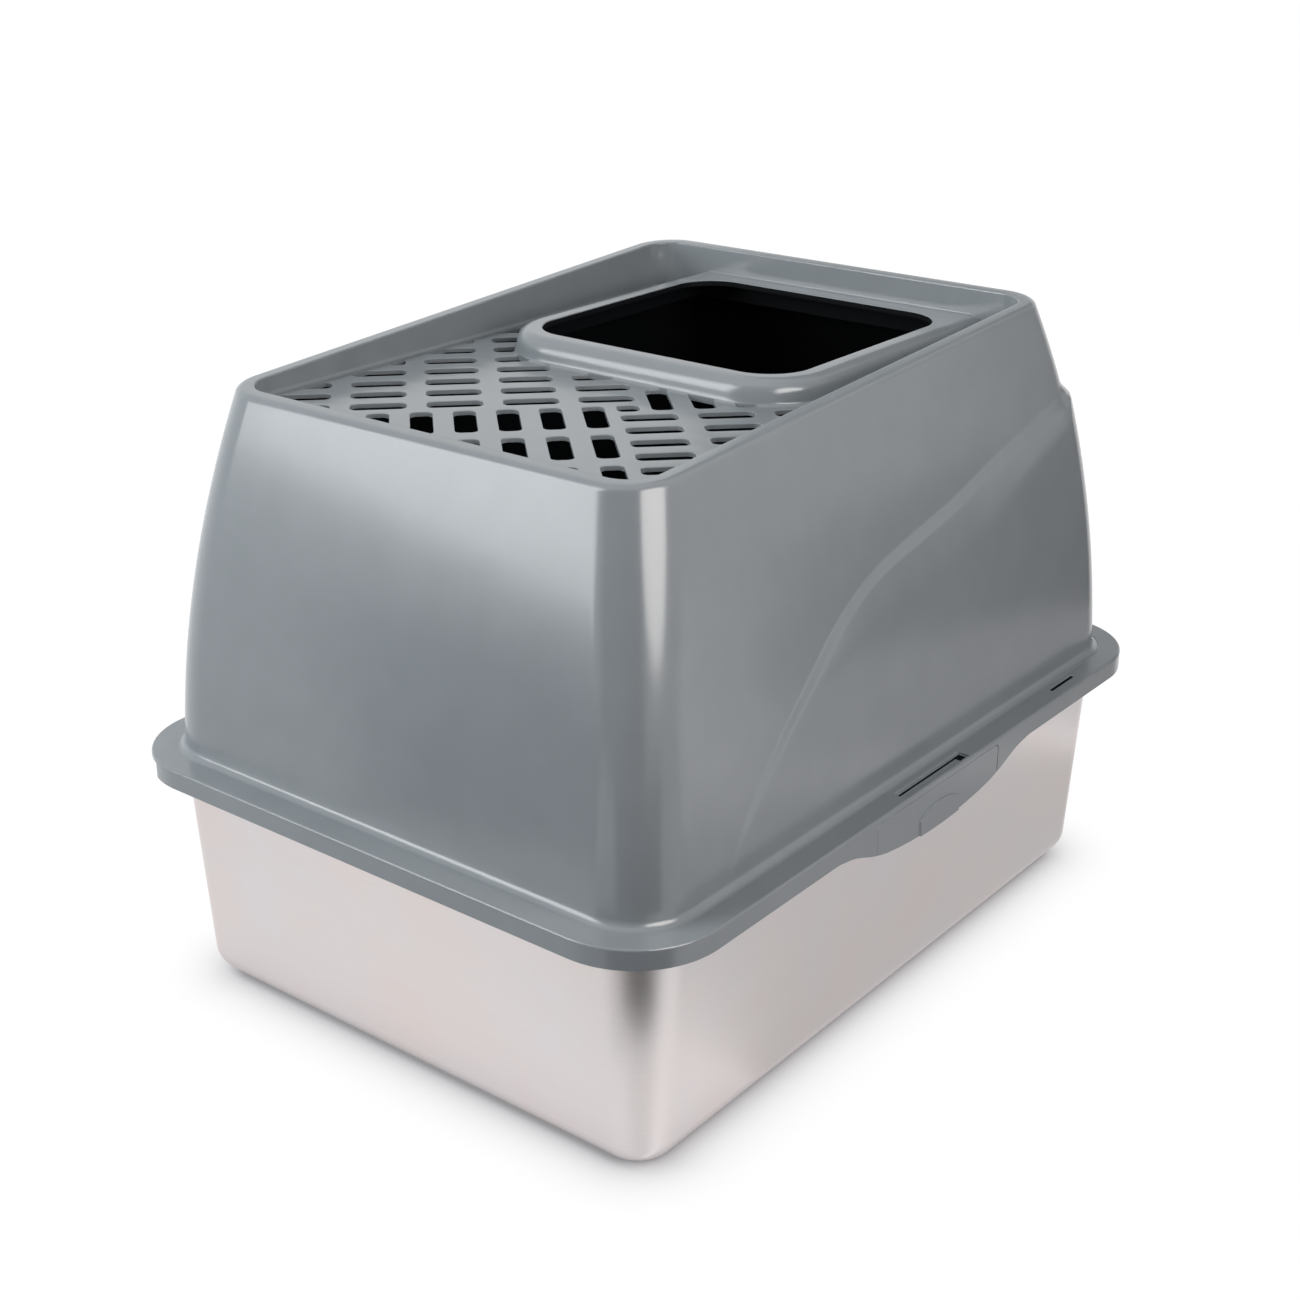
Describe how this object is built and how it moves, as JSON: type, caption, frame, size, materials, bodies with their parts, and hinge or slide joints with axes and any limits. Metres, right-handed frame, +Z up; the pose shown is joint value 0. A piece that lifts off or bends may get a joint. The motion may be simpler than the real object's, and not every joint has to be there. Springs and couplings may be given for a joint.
{
  "type": "top entry litter box",
  "caption": "Tall litter box with a stainless steel pan and a lift-off plastic hood whose recessed, slotted top has a raised square entry hole; side latches hold the hood.",
  "frame": {"origin": "centre of the box on the floor", "axes": "+Z up, +Y along the length towards the entry end, +X across to the right-hand latch"},
  "size_m": [0.3804, 0.5, 0.3656],
  "materials": {
    "pan_steel": "fine brushed stainless steel",
    "hood_plastic": "semi-gloss moulded grey polypropylene",
    "foot_rubber": "matt black rubber"
  },
  "bodies": {
    "pan": {"litter_pan": "pan_steel", "pan_feet": "foot_rubber"},
    "hood": {"hood": "hood_plastic"},
    "latch_right": {"latch_right": "hood_plastic"},
    "latch_left": {"latch_left": "hood_plastic"}
  },
  "joints": [
    {"name": "hood_lift", "type": "slide", "parent": "pan", "child": "hood", "axis": [0, 0, 1], "range_m": [0, 0.18]},
    {"name": "latch_right_pull", "type": "hinge", "parent": "hood", "child": "latch_right", "pos_m": [0.18935, 0, 0.14085], "axis": [0, -1, 0], "range_deg": [0, 12], "stiffness_Nm_per_rad": 0.6},
    {"name": "latch_left_pull", "type": "hinge", "parent": "hood", "child": "latch_left", "pos_m": [-0.18935, 0, 0.14085], "axis": [0, 1, 0], "range_deg": [0, 12], "stiffness_Nm_per_rad": 0.6}
  ]
}
